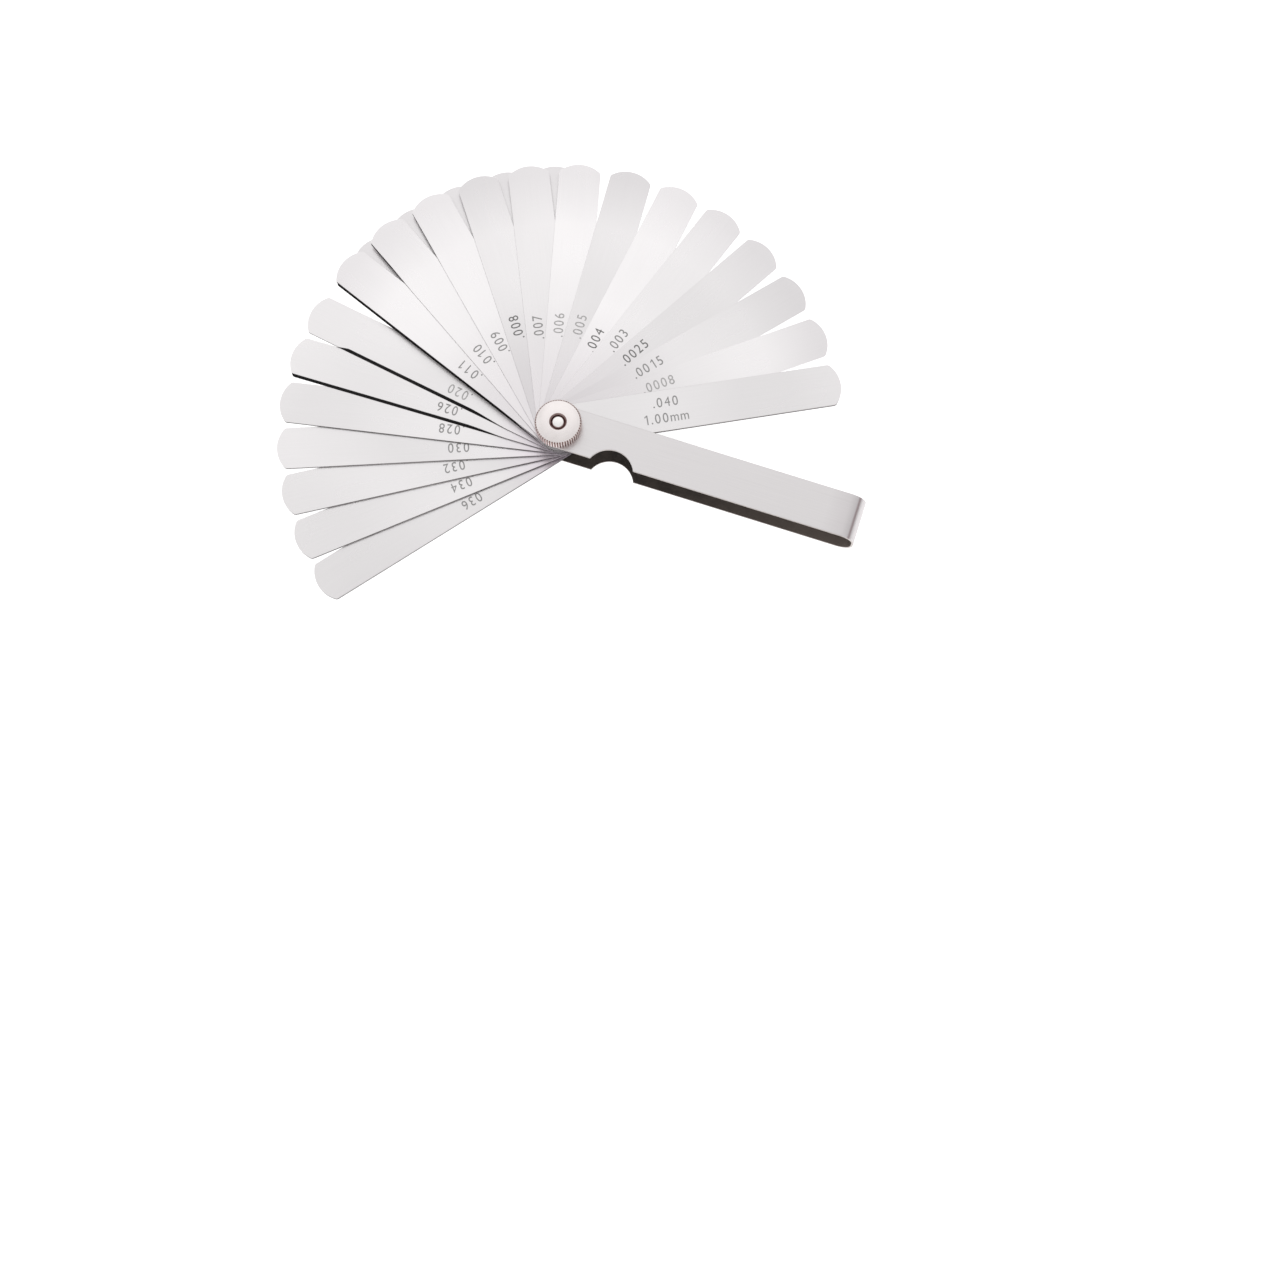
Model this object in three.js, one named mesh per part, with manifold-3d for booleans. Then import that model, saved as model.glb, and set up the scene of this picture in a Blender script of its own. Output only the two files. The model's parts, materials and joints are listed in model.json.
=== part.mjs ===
// Feeler gauge: twenty-six steel thickness blades fanned out of a folded sheet-steel case.
// Millimetres, +Z up. The origin is on the pivot axis, at the underside of the pivot screw's head.
// +X runs along the case towards its closed, folded end, and the lock nut is on top.

import * as THREE from 'three';
import { mergeVertices } from 'three/addons/utils/BufferGeometryUtils.js';
import Module from 'manifold-3d';

const wasm = await Module();
wasm.setup();

// ---- driving dimensions ----

// The blades, from the one under the case's top plate down to the one on its bottom plate, in evenly fanned
// runs. A run's first blade is turned out of the case by first degrees, counter-clockwise, and each blade
// after it by step degrees more.
const BLADE_RUNS = [
  {
    first: 27,
    step: 11,
    thicknesses: [1.0, 0.02, 0.04, 0.06, 0.08, 0.1, 0.13, 0.15, 0.18, 0.2, 0.23, 0.25, 0.28],
  },
  { first: 109.5, step: 11, thicknesses: [0.3, 0.33, 0.35, 0.38, 0.4] },
  { first: 159, step: 0, thicknesses: [0.45] },
  { first: 171, step: 10, thicknesses: [0.5, 0.65, 0.7, 0.75, 0.8, 0.85, 0.9] },
];
const BLADES = BLADE_RUNS.flatMap(({ first, step, thicknesses }) =>
  thicknesses.map((thickness, i) => ({ thickness, fan: first + i * step })),
);

const BLADE_WIDTH = 12.7;
const PIVOT_TO_TIP = 84.9;
const TIP_ARC_RADIUS = 9.1;
const TIP_CORNER_RADIUS = 1.2;
const LAYER_GAP = 0.02; // air between two faces that lie on each other

const CASE_WIDTH = 13.2;
const CASE_END = 93.4; // pivot axis to the outside of the closed end
const CASE_SHEET = 0.7;
const FOLD_RADIUS = 4.8; // outside radius of the closed end's two corners
const NOTCH_RADIUS = 7.2;
const NOTCH_X = 18.6;
const NOTCH_OUTSIDE = 2.8; // from the case's long edge out to the notch's centre

const SHANK_RADIUS = 2.0;
const BORE_RADIUS = 2.08;
const HEAD_RADIUS = 5.0;
const HEAD_HEIGHT = 1.4;
const HEAD_RIM = 0.3;
const SCREW_CHAMFER = 0.45;
const SCREW_END_BELOW_NUT_TOP = 0.25;

const NUT_RADIUS = 7.0;
const NUT_HEIGHT = 3.7;
const NUT_TOP_CHAMFER = 0.5;
const NUT_BOTTOM_CHAMFER = 0.3;
const NUT_COUNTERSINK = 0.45;
const KNURL_TEETH = 54;
const KNURL_DEPTH = 0.3;
const KNURL_OVERCUT = 0.02; // how far the knurled prism's ridges stand outside the nut blank
const CUT_MARGIN = 1; // how far a cutting prism runs past what it cuts

// Facets in each curve.
const HUB_STEPS = 18;
const TIP_CORNER_STEPS = 3;
const TIP_ARC_STEPS = 10;
const BLADE_BORE_STEPS = 24;
const CASE_HUB_STEPS = 24;
const CASE_BORE_STEPS = 32;
const NOTCH_STEPS = 18;
const FOLD_OUTSIDE_STEPS = 10;
const FOLD_INSIDE_STEPS = 8;
const SCREW_STEPS = 40;

// ---- heights worked out from the stack ----

const stackHeight = BLADES.reduce((sum, blade) => sum + blade.thickness + LAYER_GAP, LAYER_GAP);
const caseBottom = HEAD_HEIGHT;
const stackBottom = caseBottom + CASE_SHEET;
const stackTop = stackBottom + stackHeight;
const caseTop = stackTop + CASE_SHEET;
const nutBottom = caseTop + LAYER_GAP;
const nutTop = nutBottom + NUT_HEIGHT;
const screwTop = nutTop - SCREW_END_BELOW_NUT_TOP;

// ---- materials ----

const steel = (color, roughness) => new THREE.MeshStandardMaterial({ color, roughness, metalness: 1 });
const bladeSteel = steel(0xe4e4e6, 0.35);
const caseSteel = steel(0xd6d3d3, 0.4);
const nutNickel = steel(0xe6dcd6, 0.25);
const screwSteel = steel(0xd9d2cc, 0.3);

// ---- helpers ----

function arcPoints(centreX, centreY, radius, from, to, steps) {
  const points = [];
  for (let i = 0; i <= steps; i++) {
    const angle = from + ((to - from) * i) / steps;
    points.push(new THREE.Vector2(centreX + radius * Math.cos(angle), centreY + radius * Math.sin(angle)));
  }
  return points;
}

function plate(outline, hole, bottom, height) {
  const shape = new THREE.Shape(outline);
  if (hole) shape.holes.push(new THREE.Path(hole));
  return new THREE.ExtrudeGeometry(shape, { depth: height, bevelEnabled: false }).translate(0, 0, bottom);
}

function turned(profile, steps) {
  const points = profile.map(([radius, height]) => new THREE.Vector2(radius, height));
  return new THREE.LatheGeometry(points, steps).rotateX(Math.PI / 2);
}

function toSolid(geometry) {
  geometry.deleteAttribute('normal');
  geometry.deleteAttribute('uv');
  const merged = mergeVertices(geometry);
  return new wasm.Manifold(
    new wasm.Mesh({
      numProp: 3,
      vertProperties: new Float32Array(merged.attributes.position.array),
      triVerts: new Uint32Array(merged.index.array),
    }),
  );
}

function toGeometry(solid) {
  const mesh = solid.getMesh();
  const geometry = new THREE.BufferGeometry();
  geometry.setAttribute('position', new THREE.BufferAttribute(mesh.vertProperties, 3));
  geometry.setIndex(new THREE.BufferAttribute(mesh.triVerts, 1));
  geometry.computeVertexNormals();
  return geometry;
}

function named(name, geometry, material) {
  const mesh = new THREE.Mesh(geometry, material);
  mesh.name = name;
  return mesh;
}

// ---- blades ----

// A strip with a round hub end about the pivot and a gently arched tip with eased corners.
function bladeOutline() {
  const half = BLADE_WIDTH / 2;
  const arcX = PIVOT_TO_TIP - TIP_ARC_RADIUS;
  const cornerY = half - TIP_CORNER_RADIUS;
  const cornerX = arcX + Math.sqrt((TIP_ARC_RADIUS - TIP_CORNER_RADIUS) ** 2 - cornerY ** 2);
  const tipAngle = Math.atan2(cornerY, cornerX - arcX);
  return [
    ...arcPoints(0, 0, half, Math.PI / 2, (3 * Math.PI) / 2, HUB_STEPS),
    ...arcPoints(cornerX, -cornerY, TIP_CORNER_RADIUS, -Math.PI / 2, -tipAngle, TIP_CORNER_STEPS),
    ...arcPoints(arcX, 0, TIP_ARC_RADIUS, -tipAngle, tipAngle, TIP_ARC_STEPS).slice(1, -1),
    ...arcPoints(cornerX, cornerY, TIP_CORNER_RADIUS, tipAngle, Math.PI / 2, TIP_CORNER_STEPS),
  ];
}

function makeBlade({ thickness, fan }, bottom) {
  const bore = arcPoints(0, 0, BORE_RADIUS, 0, 2 * Math.PI, BLADE_BORE_STEPS).slice(0, -1);
  const name = `blade_${thickness.toFixed(2).replace('.', '_')}mm`;
  const blade = named(name, plate(bladeOutline(), bore, 0, thickness), bladeSteel);
  blade.position.z = bottom;
  blade.rotation.z = THREE.MathUtils.degToRad(fan);
  return blade;
}

function makeBlades() {
  const blades = [];
  let top = stackTop - LAYER_GAP;
  for (const size of BLADES) {
    const bottom = top - size.thickness;
    blades.push(makeBlade(size, bottom));
    top = bottom - LAYER_GAP;
  }
  return blades;
}

// ---- case ----

// The strip seen from its long side: two plates joined by a closed end with two rounded corners.
function foldedStrip() {
  const inner = FOLD_RADIUS - CASE_SHEET;
  const foldX = CASE_END - FOLD_RADIUS;
  const lowerFold = caseBottom + FOLD_RADIUS;
  const upperFold = caseTop - FOLD_RADIUS;
  const openX = -CASE_WIDTH;
  const profile = [
    new THREE.Vector2(openX, caseBottom),
    ...arcPoints(foldX, lowerFold, FOLD_RADIUS, -Math.PI / 2, 0, FOLD_OUTSIDE_STEPS),
    ...arcPoints(foldX, upperFold, FOLD_RADIUS, 0, Math.PI / 2, FOLD_OUTSIDE_STEPS),
    new THREE.Vector2(openX, caseTop),
    new THREE.Vector2(openX, caseTop - CASE_SHEET),
    ...arcPoints(foldX, upperFold, inner, Math.PI / 2, 0, FOLD_INSIDE_STEPS),
    ...arcPoints(foldX, lowerFold, inner, 0, -Math.PI / 2, FOLD_INSIDE_STEPS),
    new THREE.Vector2(openX, caseBottom + CASE_SHEET),
  ];
  return plate(profile, null, -CASE_WIDTH, 2 * CASE_WIDTH).rotateX(Math.PI / 2);
}

// The strip seen from above: round about the pivot, with a thumb notch in one long edge.
function casePlan() {
  const half = CASE_WIDTH / 2;
  const notchY = -half - NOTCH_OUTSIDE;
  const notchAngle = Math.asin(NOTCH_OUTSIDE / NOTCH_RADIUS);
  const outline = [
    ...arcPoints(0, 0, half, Math.PI / 2, (3 * Math.PI) / 2, CASE_HUB_STEPS),
    ...arcPoints(NOTCH_X, notchY, NOTCH_RADIUS, Math.PI - notchAngle, notchAngle, NOTCH_STEPS),
    new THREE.Vector2(CASE_END + CUT_MARGIN, -half),
    new THREE.Vector2(CASE_END + CUT_MARGIN, half),
  ];
  const hole = arcPoints(0, 0, BORE_RADIUS, 0, 2 * Math.PI, CASE_BORE_STEPS).slice(0, -1);
  return plate(outline, hole, caseBottom - CUT_MARGIN, caseTop - caseBottom + 2 * CUT_MARGIN);
}

function makeCase() {
  const solid = toSolid(foldedStrip()).intersect(toSolid(casePlan()));
  return named('case', toGeometry(solid), caseSteel);
}

// ---- pivot screw and lock nut ----

function makePivotScrew() {
  const profile = [
    [0, 0],
    [HEAD_RADIUS - HEAD_RIM, 0],
    [HEAD_RADIUS, HEAD_RIM],
    [HEAD_RADIUS, HEAD_HEIGHT - LAYER_GAP],
    [SHANK_RADIUS, HEAD_HEIGHT - LAYER_GAP],
    [SHANK_RADIUS, screwTop - SCREW_CHAMFER],
    [SHANK_RADIUS - SCREW_CHAMFER, screwTop],
    [0, screwTop],
  ];
  return named('pivot_screw', turned(profile, SCREW_STEPS), screwSteel);
}

// The turned nut: chamfered top and bottom, and countersunk round the end of the screw.
function nutBlank() {
  return turned(
    [
      [BORE_RADIUS, nutBottom],
      [NUT_RADIUS - NUT_BOTTOM_CHAMFER, nutBottom],
      [NUT_RADIUS, nutBottom + NUT_BOTTOM_CHAMFER],
      [NUT_RADIUS, nutTop - NUT_TOP_CHAMFER],
      [NUT_RADIUS - NUT_TOP_CHAMFER, nutTop],
      [BORE_RADIUS + NUT_COUNTERSINK, nutTop],
      [BORE_RADIUS, nutTop - NUT_COUNTERSINK],
      [BORE_RADIUS, nutBottom],
    ],
    KNURL_TEETH,
  );
}

function knurledPrism() {
  const outline = [];
  for (let i = 0; i < 2 * KNURL_TEETH; i++) {
    const angle = (i * Math.PI) / KNURL_TEETH;
    const radius = i % 2 ? NUT_RADIUS - KNURL_DEPTH : NUT_RADIUS + KNURL_OVERCUT;
    outline.push(new THREE.Vector2(radius * Math.cos(angle), radius * Math.sin(angle)));
  }
  return plate(outline, null, nutBottom - CUT_MARGIN, NUT_HEIGHT + 2 * CUT_MARGIN);
}

function makeLockNut() {
  const solid = toSolid(nutBlank()).intersect(toSolid(knurledPrism()));
  return named('lock_nut', toGeometry(solid), nutNickel);
}

// ---- assembly ----

const gauge = new THREE.Group();
gauge.add(makeCase(), makePivotScrew(), makeLockNut(), ...makeBlades());

export default gauge;
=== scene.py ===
import json
import math

import bmesh
import bpy
from mathutils import Matrix, Vector
from mathutils.geometry import tessellate_polygon


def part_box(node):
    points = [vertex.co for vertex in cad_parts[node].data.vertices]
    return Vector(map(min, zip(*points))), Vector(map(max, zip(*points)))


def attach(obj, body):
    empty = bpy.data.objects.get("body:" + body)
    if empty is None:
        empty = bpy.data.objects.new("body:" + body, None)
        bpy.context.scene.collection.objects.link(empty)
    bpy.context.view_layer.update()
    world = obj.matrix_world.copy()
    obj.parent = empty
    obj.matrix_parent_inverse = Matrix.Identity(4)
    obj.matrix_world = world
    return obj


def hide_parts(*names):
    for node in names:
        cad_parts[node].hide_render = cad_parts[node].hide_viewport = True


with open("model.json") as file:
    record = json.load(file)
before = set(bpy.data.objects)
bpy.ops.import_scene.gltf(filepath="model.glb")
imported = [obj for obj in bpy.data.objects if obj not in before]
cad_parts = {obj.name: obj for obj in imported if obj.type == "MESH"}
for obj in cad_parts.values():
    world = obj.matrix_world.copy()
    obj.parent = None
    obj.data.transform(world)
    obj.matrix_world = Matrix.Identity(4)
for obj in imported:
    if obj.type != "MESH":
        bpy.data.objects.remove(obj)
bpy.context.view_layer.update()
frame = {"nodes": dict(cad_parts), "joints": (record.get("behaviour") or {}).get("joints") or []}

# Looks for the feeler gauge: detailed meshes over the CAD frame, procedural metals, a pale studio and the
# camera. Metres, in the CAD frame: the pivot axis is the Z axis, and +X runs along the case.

MM = 0.001
MICRON = 0.001 * MM

# ---- sizes from the frame ----

CASE_LOW, CASE_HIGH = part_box("case")
NUT_LOW, NUT_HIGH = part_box("lock_nut")
SCREW_LOW, SCREW_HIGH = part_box("pivot_screw")
BLADE_NODES = sorted(n for n in frame["nodes"] if n.startswith("blade_"))
FAN_DEG = {j["child"]: -j["range_deg"][0] for j in frame["joints"]}

BORE_RADIUS = 2.08 * MM
SHANK_RADIUS = 2.0 * MM

BLADE_HALF_WIDTH = 6.35 * MM
PIVOT_TO_TIP = 84.9 * MM
TIP_ARC_RADIUS = 9.1 * MM
TIP_CORNER_RADIUS = 1.2 * MM

CASE_HALF_WIDTH = CASE_HIGH.y
CASE_SHEET = 0.7 * MM
CASE_EDGE_ROUND = 0.09 * MM
FOLD_RADIUS = 4.8 * MM
NOTCH_RADIUS = 7.2 * MM
NOTCH_X = 18.6 * MM
NOTCH_OUTSIDE = 2.8 * MM

# The mark in inches that goes with each thickness in millimetres.
INCH_MARKS = {
    "1.00": ".040", "0.02": ".0008", "0.04": ".0015", "0.06": ".0025", "0.08": ".003", "0.10": ".004",
    "0.13": ".005", "0.15": ".006", "0.18": ".007", "0.20": ".008", "0.23": ".009", "0.25": ".010",
    "0.28": ".011", "0.30": ".012", "0.33": ".013", "0.35": ".014", "0.38": ".015", "0.40": ".016",
    "0.45": ".018", "0.50": ".020", "0.65": ".026", "0.70": ".028", "0.75": ".030", "0.80": ".032",
    "0.85": ".034", "0.90": ".036",
}

# How bright the blades' ground faces are: most are fair, and these are brighter or duller.
BRIGHT_FACE, FAIR_FACE, DULL_FACE = 0.88, 0.83, 0.79
BRIGHT_BLADES = (".004", ".006", ".009", ".010", ".011")
DULL_BLADES = (".0015", ".0025", ".005", ".008", ".036", ".040")

# How pale the etching is: most marks are grey, and these are darker or nearly worn away.
DARK_MARK, GREY_MARK, FAINT_MARK = 0.3, 0.55, 0.8
DARK_MARKS = (".0025", ".004", ".008")
FAINT_MARKS = (".0008", ".005", ".006", ".020")

# How far along the blade the inch mark is etched, and how much farther from the pivot (or, negative, nearer
# to it) these are.
INCH_MARK_X = 32.4 * MM
INCH_MARK_STRAY = {".004": -3.0 * MM, ".030": -2.5 * MM, ".008": 2.0 * MM, ".026": 1.5 * MM}

# Where the counter-clockwise edge of a blade is drawn in at a slant, so that its black side face shows wider
# as painted shade
# of the dark gap between the blades: where along the blade that starts and stops, and how wide the slant is,
# in millimetres.
BLACK_SLANTS = {
    "0.23": (60.0, 99.0, 0.1),
    "0.25": (62.0, 99.0, 0.25),
    "0.28": (8.0, 99.0, 0.15),
    "0.45": (5.0, 99.0, 0.65),
    "0.50": (16.0, 72.0, 0.9),
    "0.65": (16.0, 99.0, 0.8),
}
SLANT_RISE = 10.0 * MM
SLANT_FALL = 3.0 * MM


# ---- node helpers ----

class Nodes:
    """Builds one material's or world's node tree."""

    def __init__(self, tree):
        self.tree = tree
        self.tree.nodes.clear()

    def add(self, kind, **values):
        node = self.tree.nodes.new(kind)
        for key, value in values.items():
            setattr(node, key, value)
        return node

    def link(self, source, target):
        self.tree.links.new(source, target)

    def vary(self, noise, amount, base):
        """base, plus or minus amount as the noise goes."""
        return self.math("MULTIPLY_ADD", self.remap(noise, 0.3, 0.7, -1.0, 1.0), amount, base)

    def attribute(self, name):
        return self.add("ShaderNodeAttribute", attribute_name=name).outputs["Fac"]

    def place(self):
        return self.add("ShaderNodeTexCoord").outputs["Object"]

    def split(self, vector):
        node = self.add("ShaderNodeSeparateXYZ")
        self.link(vector, node.inputs[0])
        return node.outputs

    def length(self, vector):
        node = self.add("ShaderNodeVectorMath", operation="LENGTH")
        self.link(vector, node.inputs[0])
        return node.outputs["Value"]

    def along_strip(self, shader):
        """Turns the shader's anisotropy along the strip."""
        node = self.add("ShaderNodeTangent", direction_type="UV_MAP", uv_map="strip")
        self.link(node.outputs[0], shader.inputs["Tangent"])

    def math(self, operation, a, b=None, c=None):
        node = self.add("ShaderNodeMath", operation=operation)
        for socket, value in zip(node.inputs, (a, b, c)):
            if value is None:
                continue
            if isinstance(value, (int, float)):
                socket.default_value = value
            else:
                self.link(value, socket)
        return node.outputs[0]

    def noise(self, vector, scale=1.0, detail=2.0, roughness=0.5):
        node = self.add("ShaderNodeTexNoise")
        node.inputs["Scale"].default_value = scale
        node.inputs["Detail"].default_value = detail
        node.inputs["Roughness"].default_value = roughness
        self.link(vector, node.inputs["Vector"])
        return node.outputs["Fac"]

    def stretch(self, vector, scale):
        node = self.add("ShaderNodeMapping")
        node.inputs["Scale"].default_value = scale
        self.link(vector, node.inputs["Vector"])
        return node.outputs["Vector"]

    def remap(self, value, low, high, to_low, to_high):
        node = self.add("ShaderNodeMapRange")
        numbers = {"From Min": low, "From Max": high, "To Min": to_low, "To Max": to_high}
        for name, number in numbers.items():
            node.inputs[name].default_value = number
        self.link(value, node.inputs["Value"])
        return node.outputs["Result"]

    def ramp(self, value, stops):
        node = self.add("ShaderNodeValToRGB")
        elements = node.color_ramp.elements
        while len(elements) < len(stops):
            elements.new(0.5)
        for element, (place, colour) in zip(elements, stops):
            element.position = place
            element.color = (*colour, 1.0)
        self.link(value, node.inputs["Fac"])
        return node.outputs["Color"]

    def mix(self, factor, a, b, blend="MIX"):
        node = self.add("ShaderNodeMix", data_type="RGBA", blend_type=blend)
        for socket, value in ((node.inputs[0], factor), (node.inputs[6], a), (node.inputs[7], b)):
            if isinstance(value, (int, float)):
                socket.default_value = value
            elif isinstance(value, tuple):
                socket.default_value = (*value, 1.0)
            else:
                self.link(value, socket)
        return node.outputs[2]

    def bump(self, height, distance, strength=1.0, normal=None):
        node = self.add("ShaderNodeBump")
        node.inputs["Strength"].default_value = strength
        node.inputs["Distance"].default_value = distance
        self.link(height, node.inputs["Height"])
        if normal is not None:
            self.link(normal, node.inputs["Normal"])
        return node.outputs["Normal"]


def metal(name, metallic=1.0, anisotropic=0.0):
    material = bpy.data.materials.new(name)
    material.use_nodes = True
    nodes = Nodes(material.node_tree)
    shader = nodes.add("ShaderNodeBsdfPrincipled")
    output = nodes.add("ShaderNodeOutputMaterial")
    nodes.link(shader.outputs[0], output.inputs["Surface"])
    shader.inputs["Metallic"].default_value = metallic
    shader.inputs["Anisotropic"].default_value = anisotropic
    return material, nodes, shader


# ---- materials ----

BLACK, PLAIN = (0.0, 0.0, 0.0), (1.0, 1.0, 1.0)
CASE_FACE_TONE = 0.73
BEND_LINE_BELOW_TOP = 0.87 * MM
BEND_SHADE_RUN = 6.0 * MM
DARK_INSIDE_X = 20.0 * MM
EDGE_SHADE_FROM, EDGE_SHADE_TO = 12.0 * MM, 40.0 * MM


def blade_face_material():
    """Satin ground spring steel: long fine grain, cloudy handling marks, and one of three tones.

    The thin blades are darker towards the pivot and the tip, and the thick ones darker round the pivot, both
    as painted shade.
    """
    material, nodes, shader = metal("blade_ground_face", anisotropic=0.5)
    shader.inputs["Anisotropic Rotation"].default_value = 0.25
    uv = nodes.add("ShaderNodeUVMap", uv_map="strip").outputs["UV"]
    grain = nodes.noise(nodes.stretch(uv, (55.0, 5200.0, 1.0)), detail=3.0, roughness=0.6)
    fine = nodes.noise(nodes.stretch(uv, (240.0, 16000.0, 1.0)), detail=2.0)
    clouds = nodes.noise(nodes.stretch(uv, (38.0, 95.0, 1.0)), detail=2.0, roughness=0.45)
    swells = nodes.noise(nodes.stretch(uv, (24.0, 14.0, 1.0)), detail=0.0)
    brightness = nodes.attribute("tone")
    for noise, amount in ((clouds, 0.01), (swells, 0.035), (grain, 0.012)):
        brightness = nodes.vary(noise, amount, brightness)
    colour = nodes.ramp(brightness, ((0.0, BLACK), (1.0, (1.0, 0.975, 0.98))))
    reach = nodes.math("DIVIDE", nodes.length(nodes.place()), PIVOT_TO_TIP)
    # Painted shade towards the pivot and the tip, for the thin blades.
    hub_tip_shade_stops = ((0.1, (0.85, 0.83, 0.845)), (0.5, PLAIN), (0.78, PLAIN), (0.97, (0.9, 0.895, 0.9)))
    # Painted shade round the pivot, for the thick blades.
    pivot_shade_stops = ((0.08, (0.86, 0.79, 0.87)), (0.16, (0.96, 0.93, 0.96)), (0.26, PLAIN))
    dimmed, pivot_shaded = nodes.ramp(reach, hub_tip_shade_stops), nodes.ramp(reach, pivot_shade_stops)
    for name, tint in (("hub_tip_shading", dimmed), ("pivot_shading", pivot_shaded)):
        tinted = nodes.mix(1.0, colour, tint, blend="MULTIPLY")
        colour = nodes.mix(nodes.attribute(name), colour, tinted)
    nodes.link(colour, shader.inputs["Base Color"])
    nodes.link(nodes.remap(clouds, 0.3, 0.7, 0.25, 0.34), shader.inputs["Roughness"])
    normal = nodes.bump(swells, 80.0 * MICRON)
    normal = nodes.bump(grain, 1.2 * MICRON, normal=normal)
    nodes.link(nodes.bump(fine, 0.4 * MICRON, normal=normal), shader.inputs["Normal"])
    nodes.along_strip(shader)
    return material


def blade_edge_material():
    """Sheared blade edges with fine cross grain, black, dark or grey by the blade's thickness, the black and
    the dark as painted shade of the gaps between the blades, and darker round the pivot as painted shade.
    """
    material, nodes, shader = metal("blade_edge_and_gap_shade", metallic=0.0)
    shader.inputs["Specular IOR Level"].default_value = 0.08
    place = nodes.place()
    streaks = nodes.noise(nodes.stretch(place, (2600.0, 2600.0, 900.0)), detail=3.0)
    # Painted shade: the edges darken towards the pivot.
    edge_pivot_shade = nodes.remap(nodes.length(place), EDGE_SHADE_FROM, EDGE_SHADE_TO, 0.3, 1.0)
    uneven = nodes.remap(streaks, 0.3, 0.7, 0.7, 1.3)
    brightness = nodes.math("MULTIPLY", nodes.attribute("edge_tone"), uneven)
    brightness = nodes.math("MULTIPLY", brightness, edge_pivot_shade)
    colour = nodes.ramp(brightness, ((0.0, BLACK), (1.0, (1.0, 0.93, 0.95))))
    nodes.link(colour, shader.inputs["Base Color"])
    nodes.link(nodes.remap(streaks, 0.3, 0.7, 0.4, 0.65), shader.inputs["Roughness"])
    nodes.link(nodes.bump(streaks, 6.0 * MICRON), shader.inputs["Normal"])
    return material


def case_face_material():
    """Satin plated sheet, brushed along the case, darker towards the bend and with a thin brown line along
    the bend, both painted shade of the bend.
    """
    material, nodes, shader = metal("case_satin_plate", anisotropic=0.3)
    uv = nodes.add("ShaderNodeUVMap", uv_map="strip").outputs["UV"]
    grain = nodes.noise(nodes.stretch(uv, (40.0, 3600.0, 1.0)), detail=3.0, roughness=0.6)
    clouds = nodes.noise(nodes.stretch(uv, (45.0, 110.0, 1.0)), detail=2.0, roughness=0.5)
    specks = nodes.noise(nodes.stretch(uv, (2400.0, 2400.0, 1.0)), detail=2.0)
    brightness = nodes.vary(clouds, 0.012, CASE_FACE_TONE)
    brightness = nodes.vary(grain, 0.016, brightness)
    colour = nodes.ramp(brightness, ((0.0, BLACK), (1.0, (1.0, 0.967, 0.972))))
    x, _, z = nodes.split(nodes.place())
    # Painted shade: the plate darkens over the last stretch before the bend.
    bend_x = CASE_HIGH.x - FOLD_RADIUS
    near_bend = nodes.remap(x, bend_x - BEND_SHADE_RUN, bend_x, 0.0, 1.0)
    colour = nodes.mix(near_bend, colour, nodes.mix(1.0, colour, (0.91, 0.9, 0.905), blend="MULTIPLY"))
    # Painted shade: a thin brown line along the crease of the bend.
    off_line = nodes.math("ABSOLUTE", nodes.math("SUBTRACT", CASE_HIGH.z - BEND_LINE_BELOW_TOP, z))
    on_line = nodes.remap(off_line, 0.1 * MM, 0.32 * MM, 0.75, 0.0)
    colour = nodes.mix(on_line, colour, (0.42, 0.33, 0.34))
    nodes.link(colour, shader.inputs["Base Color"])
    nodes.link(nodes.remap(clouds, 0.3, 0.7, 0.27, 0.38), shader.inputs["Roughness"])
    normal = nodes.bump(grain, 1.5 * MICRON)
    nodes.link(nodes.bump(specks, 0.6 * MICRON, normal=normal), shader.inputs["Normal"])
    nodes.along_strip(shader)
    return material


def case_dark_material():
    """The inside of the case: near-black brown as painted shade of the cavity between the plates, blotchy and
    with lighter streaks, and paler towards the closed end.
    """
    material, nodes, shader = metal("case_dark_inside", metallic=0.35)
    place = nodes.place()
    blotches = nodes.noise(place, scale=220.0, detail=4.0, roughness=0.6)
    streaks = nodes.noise(nodes.stretch(place, (160.0, 2400.0, 2400.0)), detail=3.0)
    # Painted shade: the inside is coloured near-black.
    colour = nodes.ramp(blotches, ((0.3, (0.022, 0.018, 0.016)), (0.75, (0.075, 0.06, 0.05))))
    colour = nodes.mix(nodes.remap(streaks, 0.55, 0.8, 0.0, 0.35), colour, (0.13, 0.11, 0.095))
    towards_closed_end = nodes.remap(nodes.split(place)[0], DARK_INSIDE_X, CASE_HIGH.x, 0.0, 0.8)
    colour = nodes.mix(towards_closed_end, colour, (0.2, 0.165, 0.145))
    nodes.link(colour, shader.inputs["Base Color"])
    nodes.link(nodes.remap(blotches, 0.3, 0.7, 0.45, 0.7), shader.inputs["Roughness"])
    nodes.link(nodes.bump(blotches, 4.0 * MICRON), shader.inputs["Normal"])
    return material


def case_cut_edge_material():
    """Bright sheared edges of the case's sheet, a little warmer than its faces."""
    material, nodes, shader = metal("case_cut_edge", metallic=0.9)
    streaks = nodes.noise(nodes.stretch(nodes.place(), (900.0, 900.0, 5200.0)), detail=3.0)
    colour = nodes.ramp(streaks, ((0.3, (0.5, 0.45, 0.43)), (0.7, (0.68, 0.63, 0.61))))
    nodes.link(colour, shader.inputs["Base Color"])
    nodes.link(nodes.remap(streaks, 0.3, 0.7, 0.35, 0.55), shader.inputs["Roughness"])
    nodes.link(nodes.bump(streaks, 3.0 * MICRON), shader.inputs["Normal"])
    return material


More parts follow.
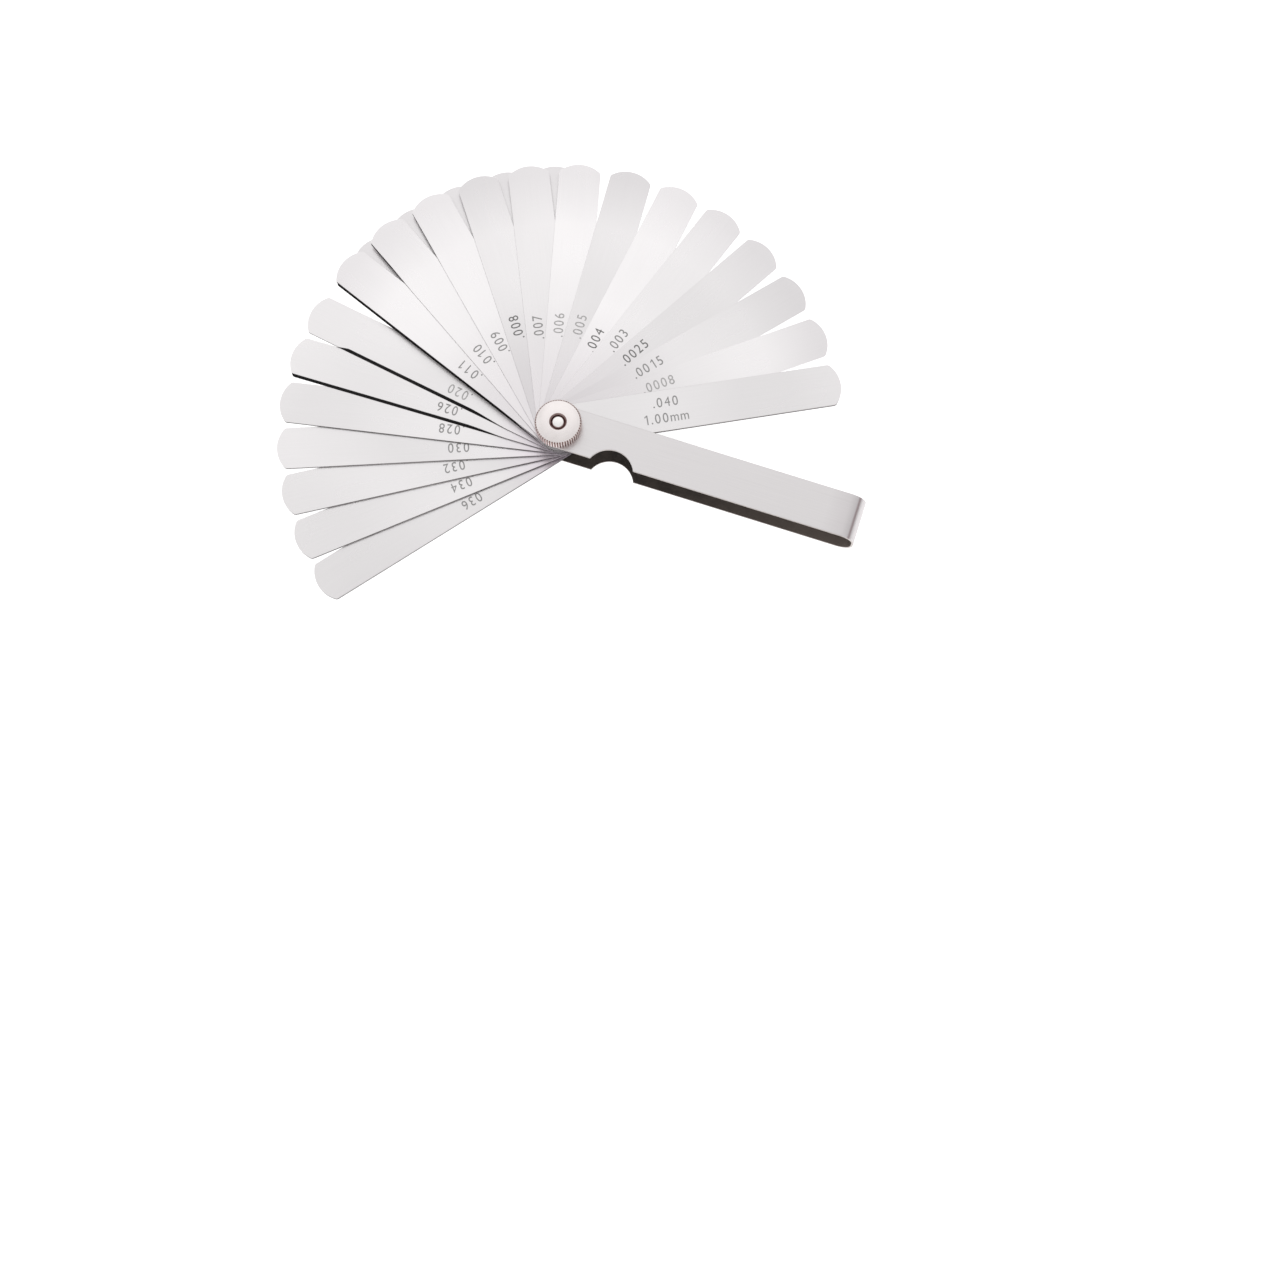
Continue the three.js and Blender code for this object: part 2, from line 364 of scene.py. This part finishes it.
def turned_material(name, ring_scale, ring_bump, patches_at, colours, roughness):
    """Bright turned metal: concentric tool marks about the pivot axis, over slightly uneven patches.

    patches_at is the scale and the detail of the patches. Colours and roughness are each two ends.
    """
    material, nodes, shader = metal(name)
    place = nodes.place()
    x, y, z = nodes.split(place)
    radius = nodes.math("SQRT", nodes.math("ADD", nodes.math("MULTIPLY", x, x), nodes.math("MULTIPLY", y, y)))
    rings_at = nodes.add("ShaderNodeCombineXYZ")
    nodes.link(nodes.math("MULTIPLY", radius, ring_scale), rings_at.inputs[0])
    nodes.link(nodes.math("MULTIPLY", z, ring_scale), rings_at.inputs[1])
    rings = nodes.noise(rings_at.outputs[0], detail=2.0)
    patches = nodes.noise(place, *patches_at)
    nodes.link(nodes.ramp(patches, ((0.3, colours[0]), (0.7, colours[1]))), shader.inputs["Base Color"])
    nodes.link(nodes.remap(patches, 0.3, 0.7, *roughness), shader.inputs["Roughness"])
    nodes.link(nodes.bump(rings, ring_bump), shader.inputs["Normal"])
    return material


def nut_material():
    """Bright warm nickel plate over a turned face."""
    colours = ((0.8, 0.745, 0.735), (0.86, 0.81, 0.8))
    return turned_material("nut_nickel_plate", 3200.0, 0.5 * MICRON, (320.0, 2.0), colours, (0.18, 0.28))


def screw_material():
    """Turned bright steel with a few worn patches."""
    colours = ((0.86, 0.83, 0.81), (0.95, 0.93, 0.92))
    return turned_material("screw_turned_steel", 3600.0, 0.6 * MICRON, (700.0, 3.0), colours, (0.2, 0.36))


def patchy_material(name, dark, light):
    """Uneven colour between a dark and a light end, for the knurl, the nut's countersink and bore, and the
    screw's shank: worn plate, tarnish and painted shade.
    """
    material, nodes, shader = metal(name)
    patches = nodes.noise(nodes.place(), scale=900.0, detail=3.0)
    nodes.link(nodes.ramp(patches, ((0.3, dark), (0.7, light))), shader.inputs["Base Color"])
    nodes.link(nodes.remap(patches, 0.3, 0.7, 0.25, 0.42), shader.inputs["Roughness"])
    nodes.link(nodes.bump(patches, 3.0 * MICRON), shader.inputs["Normal"])
    return material


def etched_mark_material():
    """Grey, slightly uneven etching of the size numbers."""
    material, nodes, shader = metal("size_number_etching", metallic=0.4)
    patches = nodes.noise(nodes.place(), scale=1800.0, detail=3.0)
    paleness = nodes.remap(nodes.attribute("tone"), 0.0, 1.0, 0.06, 0.6)
    shade = nodes.math("MULTIPLY", paleness, nodes.remap(patches, 0.3, 0.7, 0.75, 1.2))
    nodes.link(nodes.ramp(shade, ((0.0, BLACK), (1.0, (1.0, 0.98, 0.975)))), shader.inputs["Base Color"])
    nodes.link(nodes.remap(patches, 0.3, 0.7, 0.45, 0.7), shader.inputs["Roughness"])
    nodes.link(nodes.bump(patches, 1.5 * MICRON), shader.inputs["Normal"])
    return material


# ---- mesh helpers ----

def arc(centre_x, centre_y, radius, start, end, steps):
    turns = [start + (end - start) * i / steps for i in range(steps + 1)]
    return [Vector((centre_x + radius * math.cos(t), centre_y + radius * math.sin(t))) for t in turns]


def inset(points, amount, closed=True):
    """Moves a counter-clockwise outline inwards by amount, mitred at its corners."""
    moved = []
    count = len(points)
    for i, point in enumerate(points):
        before = points[i - 1] if closed or i > 0 else None
        after = points[(i + 1) % count] if closed or i < count - 1 else None
        normals = []
        for a, b in ((before, point), (point, after)):
            if a is not None and b is not None and (b - a).length > 1e-9:
                along = (b - a).normalized()
                normals.append(Vector((-along.y, along.x)))
        normal = sum(normals, Vector((0.0, 0.0))).normalized()
        moved.append(point + normal * (amount / max(0.5, normal.dot(normals[0]))))
    return moved


def ring(bm, points, height):
    return [bm.verts.new((p.x, p.y, height)) for p in points]


def wall(bm, lower, upper, closed=True, material=0):
    """Quads between two rings; material is one index, or a tuple of indices that repeats round the wall."""
    count = len(lower)
    repeat = material if isinstance(material, tuple) else (material,)
    for i in range(count if closed else count - 1):
        j = (i + 1) % count
        face = bm.faces.new((lower[i], lower[j], upper[j], upper[i]))
        face.material_index = repeat[i % len(repeat)]


def cap(bm, outline, hole, upwards, material=0):
    """A flat face between an outline ring and a hole ring."""
    rings = [[v.co for v in outline]] + ([[v.co for v in hole]] if hole else [])
    verts = outline + (hole or [])
    for triangle in tessellate_polygon(rings):
        corners = [verts[i] for i in triangle]
        normal = (corners[1].co - corners[0].co).cross(corners[2].co - corners[0].co)
        if (normal.z > 0) != upwards:
            corners.reverse()
        bm.faces.new(corners).material_index = material


def finish_mesh(bm, name, materials, smooth_deg=30.0):
    bmesh.ops.remove_doubles(bm, verts=bm.verts, dist=0.5 * MICRON)
    bmesh.ops.recalc_face_normals(bm, faces=bm.faces)
    mesh = bpy.data.meshes.new(name)
    bm.to_mesh(mesh)
    bm.free()
    for material in materials:
        mesh.materials.append(material)
    mesh.shade_smooth()
    mesh.set_sharp_from_angle(angle=math.radians(smooth_deg))
    piece = bpy.data.objects.new(name, mesh)
    bpy.context.scene.collection.objects.link(piece)
    return piece


def strip_uv(mesh, turn_deg, offset):
    """Stores each corner's place along and across the strip, so that grain follows the strip."""
    layer = mesh.uv_layers.new(name="strip")
    turn = Matrix.Rotation(-math.radians(turn_deg), 2)
    for loop in mesh.loops:
        spot = turn @ mesh.vertices[loop.vertex_index].co.xy
        layer.data[loop.index].uv = (spot.x + offset, spot.y)


def constant_attribute(mesh, name, value):
    layer = mesh.attributes.new(name, "FLOAT", "POINT")
    layer.data.foreach_set("value", [value] * len(mesh.vertices))


# ---- blades ----

THIN_BLADE = 0.42 * MM
THICK_BLADES = (0.45 * MM, 0.95 * MM)
# The black and dark edge tones are painted shade of the gaps between the blades.
BLACK_EDGED, DARK_EDGED = 0.68 * MM, 0.73 * MM
BLACK_EDGE, DARK_EDGE, GREY_EDGE = 0.015, 0.06, 0.22
BLADE_EDGE_ROUND = 0.07 * MM
GRAIN_SHIFT = 0.11  # how far the grain is moved along from one blade to the next, so that no two match


def blade_outline():
    """The blade's outline, with extra points on its counter-clockwise side for the slants to bend at."""
    corner_y = BLADE_HALF_WIDTH - TIP_CORNER_RADIUS
    arc_x = PIVOT_TO_TIP - TIP_ARC_RADIUS
    corner_x = arc_x + math.sqrt((TIP_ARC_RADIUS - TIP_CORNER_RADIUS) ** 2 - corner_y ** 2)
    tip_turn = math.atan2(corner_y, corner_x - arc_x)
    quarter = math.pi / 2
    return (
        arc(0, 0, BLADE_HALF_WIDTH, quarter, 3 * quarter, 40)
        + arc(corner_x, -corner_y, TIP_CORNER_RADIUS, -quarter, -tip_turn, 6)
        + arc(arc_x, 0, TIP_ARC_RADIUS, -tip_turn, tip_turn, 24)[1:-1]
        + arc(corner_x, corner_y, TIP_CORNER_RADIUS, tip_turn, quarter, 6)
        + [Vector((x * MM, BLADE_HALF_WIDTH)) for x in range(78, 6, -3)]
    )


def blade_size(node):
    return node[len("blade_"):-len("mm")].replace("_", ".")


def level(mark, low, middle, high, low_marks, high_marks):
    """The low level for the low marks, the high level for the high marks, and the middle one for the rest."""
    if mark in low_marks:
        return low
    return high if mark in high_marks else middle


def edge_tone(thickness):
    """The thin and middling blades have black edges, the next a dark one, and the thickest grey ones; the
    black and the dark are painted shade of the gaps between the blades.
    """
    if thickness < BLACK_EDGED:
        return BLACK_EDGE
    return DARK_EDGE if thickness < DARK_EDGED else GREY_EDGE


def slanted(points, slant):
    """Draws an outline's counter-clockwise side in, over slant's stretch and by slant's width."""
    if slant is None:
        return points
    start, stop, width = (value * MM for value in slant)
    drawn = []
    for p in points:
        rise = (p.x - start) / SLANT_RISE
        fall = (stop - p.x) / SLANT_FALL
        share = min(1.0, max(0.0, min(rise, fall)))
        drawn.append(Vector((p.x, min(p.y, BLADE_HALF_WIDTH - width * share))))
    return drawn


def make_blade(node, materials, order):
    low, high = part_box(node)
    thickness = high.z - low.z
    edge = min(BLADE_EDGE_ROUND, thickness / 4)
    outline = blade_outline()
    bore = arc(0, 0, BORE_RADIUS, 0, 2 * math.pi, 40)[:-1]
    bm = bmesh.new()
    # This blade's painted-shade slant, if it has one.
    slant = BLACK_SLANTS.get(blade_size(node))
    levels = ((edge, 0.0, None), (0.0, edge, None), (0.0, thickness - edge, slant), (edge, thickness, slant))
    outer = []
    for inwards, height, drawn in levels:
        outer.append(ring(bm, inset(slanted(outline, drawn), inwards), low.z + height))
    inner = [ring(bm, bore, low.z + height) for height in (0.0, thickness)]
    wall(bm, outer[0], outer[1], material=0)
    wall(bm, outer[1], outer[2], material=1)
    wall(bm, outer[2], outer[3], material=0)
    wall(bm, inner[1], inner[0], material=1)
    cap(bm, outer[3], inner[1], True)
    cap(bm, outer[0], inner[0], False)
    fan = FAN_DEG[node]
    turn = Matrix.Rotation(math.radians(fan), 3, "Z")
    bmesh.ops.rotate(bm, verts=bm.verts, cent=(0, 0, 0), matrix=turn)
    piece = finish_mesh(bm, "ground_" + node, materials)
    strip_uv(piece.data, fan, GRAIN_SHIFT * order)
    mark = INCH_MARKS[blade_size(node)]
    face = level(mark, DULL_FACE, FAIR_FACE, BRIGHT_FACE, DULL_BLADES, BRIGHT_BLADES)
    constant_attribute(piece.data, "tone", face)
    # Which blades get the painted shade towards the pivot and the tip, and which the painted shade round the
    # pivot.
    constant_attribute(piece.data, "hub_tip_shading", 1.0 if thickness < THIN_BLADE else 0.0)
    constant_attribute(piece.data, "pivot_shading", 1.0 if THICK_BLADES[0] < thickness < THICK_BLADES[1] else 0.0)
    constant_attribute(piece.data, "edge_tone", edge_tone(thickness))
    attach(piece, node)
    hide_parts(node)
    return piece


# ---- size numbers ----

NUMBER_HEIGHT = 3.0 * MM
NUMBER_PROUD = 6.0 * MICRON
NUMBER_BOLDNESS = 0.004
NUMBER_WIDTH = 0.87
ADVANCE = {".": 0.44, "m": 1.16}
DIGIT_ADVANCE = 0.9
INCH_LINE_SIDE = 2.6 * MM
MM_LINE = Vector((31.8 * MM, -2.3 * MM))
FLAGGED_ONE = ((0.08, 0.0), (0.22, 0.0), (0.22, 1.0), (0.1, 1.0), (-0.14, 0.84), (-0.14, 0.7), (0.08, 0.84))


def font_glyph(character):
    """The outline of one character of the built-in font as a solid.

    The 4 isn't emboldened, because an offset fills its counter.
    """
    curve = bpy.data.curves.new("number", "FONT")
    curve.body = character
    curve.extrude = 0.5
    curve.offset = 0.0 if character == "4" else NUMBER_BOLDNESS
    holder = bpy.data.objects.new("number", curve)
    bpy.context.scene.collection.objects.link(holder)
    bpy.context.view_layer.update()
    mesh = bpy.data.meshes.new_from_object(holder.evaluated_get(bpy.context.evaluated_depsgraph_get()))
    bpy.data.objects.remove(holder)
    return mesh


def span(mesh, axis):
    places = [v.co[axis] for v in mesh.vertices]
    return min(places), max(places)


def one_glyph():
    """A straight 1 with a flag, as a solid one unit high."""
    bm = bmesh.new()
    outline = [Vector(p) for p in FLAGGED_ONE]
    lower, upper = ring(bm, outline, -0.5), ring(bm, outline, 0.5)
    wall(bm, lower, upper)
    cap(bm, upper, None, True)
    cap(bm, lower, None, False)
    mesh = bpy.data.meshes.new("one")
    bm.to_mesh(mesh)
    bm.free()
    return mesh


def make_glyphs():
    """Every character that the size numbers use, centred on x = 0 and standing on y = 0."""
    foot, head = span(font_glyph("0"), 1)
    glyphs = {"1": one_glyph()}
    for character in "023456789.m":
        mesh = font_glyph(character)
        middle = sum(span(mesh, 0)) / 2
        for v in mesh.vertices:
            v.co.x = (v.co.x - middle) / (head - foot)
            v.co.y = (v.co.y - foot) / (head - foot)
        glyphs[character] = mesh
    return glyphs


def make_numbers(node, material, glyphs):
    """The blade's two sizes along it: inches on its counter-clockwise half, millimetres on the other."""
    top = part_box(node)[1].z
    size = blade_size(node)
    inch_mark = INCH_MARKS[size]
    along = INCH_MARK_X + INCH_MARK_STRAY.get(inch_mark, 0.0)
    pale = level(inch_mark, DARK_MARK, GREY_MARK, FAINT_MARK, DARK_MARKS, FAINT_MARKS)
    bm = bmesh.new()
    for text, place in ((inch_mark, Vector((along, INCH_LINE_SIDE))), (size + "mm", MM_LINE)):
        advances = [ADVANCE.get(c, DIGIT_ADVANCE) for c in text]
        pen = -sum(advances) / 2
        for character, advance in zip(text, advances):
            mesh = glyphs[character].copy()
            for v in mesh.vertices:
                v.co = (
                    place.x + (v.co.x + pen + advance / 2) * NUMBER_HEIGHT * NUMBER_WIDTH,
                    place.y + (v.co.y - 0.5) * NUMBER_HEIGHT,
                    top + (NUMBER_PROUD if v.co.z > 0 else 0.1 * NUMBER_PROUD),
                )
            bm.from_mesh(mesh)
            pen += advance
    turn = Matrix.Rotation(math.radians(FAN_DEG[node]), 3, "Z")
    bmesh.ops.rotate(bm, verts=bm.verts, cent=(0, 0, 0), matrix=turn)
    piece = finish_mesh(bm, "size_numbers_" + node[len("blade_"):], [material])
    constant_attribute(piece.data, "tone", pale)
    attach(piece, node)
    return piece


# ---- case ----

def plate_edge(fold_x):
    """One plate's edge from the fold round the rounded near end and the notch back to the fold."""
    half = CASE_HALF_WIDTH
    notch_turn = math.asin(NOTCH_OUTSIDE / NOTCH_RADIUS)
    notch = arc(NOTCH_X, -half - NOTCH_OUTSIDE, NOTCH_RADIUS, math.pi - notch_turn, notch_turn, 40)
    return (
        [Vector((fold_x, half))]
        + arc(0, 0, half, math.pi / 2, 3 * math.pi / 2, 60)
        + notch
        + [Vector((fold_x, -half))]
    )


def fold_path():
    """Places and outward directions down the closed end, from the top plate to the bottom one."""
    quarter, steps = math.pi / 2, 14
    turns = [quarter * i / steps for i in range(steps + 1)]
    fold_x = CASE_HIGH.x - FOLD_RADIUS
    upper, lower = CASE_HIGH.z - FOLD_RADIUS, CASE_LOW.z + FOLD_RADIUS
    return [(fold_x, upper, quarter - t) for t in turns] + [(fold_x, lower, -t) for t in turns]


def make_case(materials):
    """The folded strip: two pierced plates and a closed end, with slightly rounded edges."""
    low, high = CASE_LOW.z, CASE_HIGH.z
    fold_x = CASE_HIGH.x - FOLD_RADIUS
    half = CASE_HALF_WIDTH
    soft = CASE_EDGE_ROUND
    edge = plate_edge(fold_x)
    bore = arc(0, 0, BORE_RADIUS, 0, 2 * math.pi, 48)[:-1]
    outside, inside, cut = 0, 1, 2
    bm = bmesh.new()
    for face_z, inwards in ((high, -1.0), (low, 1.0)):
        depths = ((soft, 0.0), (0.0, soft), (0.0, CASE_SHEET - soft), (soft, CASE_SHEET))
        rings = [ring(bm, inset(edge, shrink, False), face_z + inwards * deep) for shrink, deep in depths]
        holes = [ring(bm, bore, face_z + inwards * deep) for deep in (0.0, CASE_SHEET)]
        for upper, lower, material in ((0, 1, outside), (1, 2, cut), (2, 3, inside)):
            wall(bm, rings[upper], rings[lower], closed=False, material=material)
        wall(bm, holes[0], holes[1], material=inside)
        cap(bm, rings[0], holes[0], inwards < 0, material=outside)
        cap(bm, rings[3], holes[1], inwards > 0, material=inside)
    section = (
        (half - soft, 0.0), (half, soft), (half, CASE_SHEET - soft), (half - soft, CASE_SHEET),
        (soft - half, CASE_SHEET), (-half, CASE_SHEET - soft), (-half, soft), (soft - half, 0.0),
    )
    materials_round = (outside, cut, inside, inside, inside, cut, outside, outside)
    loops = []
    for x, z, turn in fold_path():
        reach = [FOLD_RADIUS - deep for _, deep in section]
        loops.append([
            bm.verts.new((x + r * math.cos(turn), y, z + r * math.sin(turn)))
            for r, (y, _) in zip(reach, section)
        ])
    for a, b in zip(loops, loops[1:]):
        for k, material in enumerate(materials_round):
            face = bm.faces.new((a[k], a[(k + 1) % 8], b[(k + 1) % 8], b[k]))
            face.material_index = material
    piece = finish_mesh(bm, "folded_case", materials)
    strip_uv(piece.data, 0.0, 0.0)
    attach(piece, "case")
    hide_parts("case")
    return piece


# ---- nut and screw ----

def lathe(bm, profile, steps):
    """Turns a profile about the Z axis. Its radii and heights are numbers, or functions of the angle."""
    rings = []
    for radius_at, height_at in profile:
        points = []
        for i in range(steps):
            turn = 2 * math.pi * i / steps
            r = radius_at(turn) if callable(radius_at) else radius_at
            z = height_at(turn) if callable(height_at) else height_at
            points.append(bm.verts.new((r * math.cos(turn), r * math.sin(turn), z)))
        rings.append(points)
    return rings


KNURL_TEETH = 54
KNURL_DEPTH = 0.3 * MM
KNURL_STEPS = 6
NUT_TOP_CHAMFER = 0.5 * MM
NUT_BOTTOM_CHAMFER = 0.3 * MM
NUT_COUNTERSINK = 0.45 * MM


def make_nut(materials):
    radius = NUT_HIGH.x
    bottom, top = NUT_LOW.z, NUT_HIGH.z

    def knurl(turn):
        phase = (turn * KNURL_TEETH / (2 * math.pi)) % 1.0
        valley = abs(2 * phase - 1.0) ** 1.3
        return radius - KNURL_DEPTH * valley

    def upper_end(turn):
        return top - NUT_TOP_CHAMFER + (radius - knurl(turn))

    def lower_end(turn):
        return bottom + NUT_BOTTOM_CHAMFER - (radius - knurl(turn))

    soft = 0.08 * MM
    profile = (
        (BORE_RADIUS, bottom),
        (radius - NUT_BOTTOM_CHAMFER, bottom),
        (knurl, lower_end),
        (knurl, upper_end),
        (radius - NUT_TOP_CHAMFER - soft * 0.3, top - soft * 0.7),
        (radius - NUT_TOP_CHAMFER - soft * 1.6, top),
        (BORE_RADIUS + NUT_COUNTERSINK + soft, top),
        (BORE_RADIUS + NUT_COUNTERSINK - soft * 0.5, top - soft),
        (BORE_RADIUS + soft, top - NUT_COUNTERSINK),
        (BORE_RADIUS, top - NUT_COUNTERSINK - soft),
    )
    # Painted shade: the foot of the countersink, the bore and the knurl's valleys are near-black, the
    # countersink brown, and the knurl's worn plate flanks darker than its crests.
    bright, brown, shadow, dimmed = 0, 1, 2, 3
    # Per tooth: bright crests, worn plate flanks darker as painted shade, near-black valleys as painted
    # shade.
    knurled = (shadow, dimmed, bright, bright, dimmed, shadow)
    finishes = (bright, knurled, knurled, knurled, bright, bright, brown, brown, shadow, shadow)
    bm = bmesh.new()
    rings = lathe(bm, profile, KNURL_TEETH * KNURL_STEPS)
    for a, b, finish in zip(rings, rings[1:] + rings[:1], finishes):
        wall(bm, a, b, material=finish)
    piece = finish_mesh(bm, "knurled_nut", materials)
    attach(piece, "lock_nut")
    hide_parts("lock_nut")
    return piece


def make_screw(materials):
    head = SCREW_HIGH.x
    low, top = SCREW_LOW.z, SCREW_HIGH.z
    head_top = CASE_LOW.z - 0.02 * MM
    chamfer = 0.45 * MM
    rim = 0.3 * MM
    rim_turns = (0.0, 0.4, 0.8, 1.2, math.pi / 2)
    profile = [(head - rim + rim * math.sin(t), low + rim - rim * math.cos(t)) for t in rim_turns]
    profile += [
        (head, head_top - 0.08 * MM),
        (head - 0.08 * MM, head_top),
        (SHANK_RADIUS, head_top),
        (SHANK_RADIUS, top - chamfer),
        (SHANK_RADIUS - chamfer * 0.9, top - chamfer * 0.1),
        (SHANK_RADIUS - chamfer * 1.15, top),
    ]
    bm = bmesh.new()
    rings = lathe(bm, profile, 96)
    # The shank and its top chamfer are brown, as tarnish and painted shade of the ring round the screw's end.
    dark_from = len(rings) - 4
    for i, (a, b) in enumerate(zip(rings, rings[1:])):
        wall(bm, a, b, material=1 if dark_from <= i < len(rings) - 2 else 0)
    for end, upwards in ((rings[0], False), (rings[-1], True)):
        bm.faces.new(end if upwards else list(reversed(end)))
    piece = finish_mesh(bm, "turned_screw", materials)
    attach(piece, "case")
    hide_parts("pivot_screw")
    return piece


# ---- studio ----

def make_floor():
    size = 3.0
    bm = bmesh.new()
    corners = [bm.verts.new((x * size, y * size, 0.0)) for x, y in ((-1, -1), (1, -1), (1, 1), (-1, 1))]
    bm.faces.new(corners)
    material = bpy.data.materials.new("studio_floor")
    material.use_nodes = True
    nodes = Nodes(material.node_tree)
    shader = nodes.add("ShaderNodeBsdfPrincipled")
    output = nodes.add("ShaderNodeOutputMaterial")
    nodes.link(shader.outputs[0], output.inputs["Surface"])
    shader.inputs["Base Color"].default_value = (0.5, 0.5, 0.5, 1.0)
    shader.inputs["Roughness"].default_value = 0.9
    shader.inputs["Specular IOR Level"].default_value = 0.0
    shader.inputs["Emission Color"].default_value = (1.0, 1.0, 1.0, 1.0)
    shader.inputs["Emission Strength"].default_value = 0.85
    floor = finish_mesh(bm, "floor", [material])


def make_world():
    """A white tent, brightest high up behind the object, with grey cards low down all round."""
    world = bpy.data.worlds.new("studio")
    bpy.context.scene.world = world
    world.use_nodes = True
    nodes = Nodes(world.node_tree)
    direction = nodes.add("ShaderNodeTexCoord").outputs["Generated"]
    towards_back = nodes.add("ShaderNodeVectorMath", operation="DOT_PRODUCT")
    nodes.link(direction, towards_back.inputs[0])
    towards_back.inputs[1].default_value = Vector((-0.3, 0.75, 0.6)).normalized()
    level = nodes.remap(towards_back.outputs["Value"], 0.4, 0.95, 0.8, 1.0)
    parts = nodes.add("ShaderNodeSeparateXYZ")
    nodes.link(direction, parts.inputs[0])
    white, grey = (1.0, 1.0, 1.0), (0.55, 0.53, 0.53)
    cards = nodes.ramp(parts.outputs[2], ((0.0, white), (0.05, grey), (0.32, grey), (0.5, white)))
    seen = nodes.add("ShaderNodeLightPath").outputs["Is Camera Ray"]
    colour = nodes.mix(seen, nodes.mix(1.0, cards, level, blend="MULTIPLY"), white)
    background = nodes.add("ShaderNodeBackground")
    output = nodes.add("ShaderNodeOutputWorld")
    nodes.link(colour, background.inputs["Color"])
    nodes.link(background.outputs[0], output.inputs["Surface"])


def make_lights():
    """Two large soft boxes, behind and to the left."""
    for name, place, size, power in (
        ("softbox_back", (-0.25, 0.75, 1.1), 0.9, 0.35),
        ("softbox_left", (-0.9, -0.3, 0.9), 0.7, 0.25),
    ):
        light = bpy.data.lights.new(name, "AREA")
        light.shape = "SQUARE"
        light.size = size
        light.energy = power
        holder = bpy.data.objects.new(name, light)
        holder.location = place
        holder.rotation_euler = (-Vector(place)).to_track_quat("-Z", "Y").to_euler()
        bpy.context.scene.collection.objects.link(holder)


VIEW_AZIMUTH = 26.4
VIEW_ELEVATION = 71.0
VIEW_DISTANCE = 0.520
VIEW_LENS = 48.8
AIM_FROM_PIVOT = Vector((43.95 * MM, -54.78 * MM, 0.0))


def make_camera():
    """Looks down past the pivot, so that the gauge is up and left of the picture's centre."""
    azimuth, elevation = math.radians(VIEW_AZIMUTH), math.radians(VIEW_ELEVATION)
    pivot = Vector((0.0, 0.0, CASE_HIGH.z))
    back = Vector((
        math.sin(azimuth) * math.cos(elevation), -math.cos(azimuth) * math.cos(elevation), math.sin(elevation)
    ))
    camera = bpy.data.cameras.new("camera")
    camera.sensor_width = 36.0
    camera.lens = VIEW_LENS
    camera.clip_start = 0.01
    camera.clip_end = 20.0
    holder = bpy.data.objects.new("camera", camera)
    holder.location = pivot + back * VIEW_DISTANCE
    aim = pivot + AIM_FROM_PIVOT
    holder.rotation_euler = (aim - holder.location).to_track_quat("-Z", "Y").to_euler()
    bpy.context.scene.collection.objects.link(holder)
    bpy.context.scene.camera = holder


# ---- assembly ----

make_camera()
make_world()
make_lights()
make_floor()
bpy.context.scene.view_settings.view_transform = "Standard"

blade_materials = [blade_face_material(), blade_edge_material()]
number_material = etched_mark_material()
glyphs = make_glyphs()
for order, node in enumerate(BLADE_NODES):
    make_blade(node, blade_materials, order)
    make_numbers(node, number_material, glyphs)
make_case([case_face_material(), case_dark_material(), case_cut_edge_material()])
# Brown for the countersink and the screw's shank, as tarnish and painted shade; near-black for the nut's bore
# and knurl valleys, as painted shade; reddish worn plate for the knurl's flanks, darker than the crests as
# painted shade.
brown_tarnish_and_shade = patchy_material("brown_tarnish_and_shade", (0.27, 0.165, 0.16), (0.47, 0.36, 0.34))
painted_recess_shade = patchy_material("painted_recess_shade", (0.06, 0.02, 0.018), (0.16, 0.075, 0.07))
worn_plate_and_shade = patchy_material("worn_plate_and_shade", (0.5, 0.31, 0.28), (0.76, 0.58, 0.54))
make_nut([nut_material(), brown_tarnish_and_shade, painted_recess_shade, worn_plate_and_shade])
make_screw([screw_material(), brown_tarnish_and_shade])
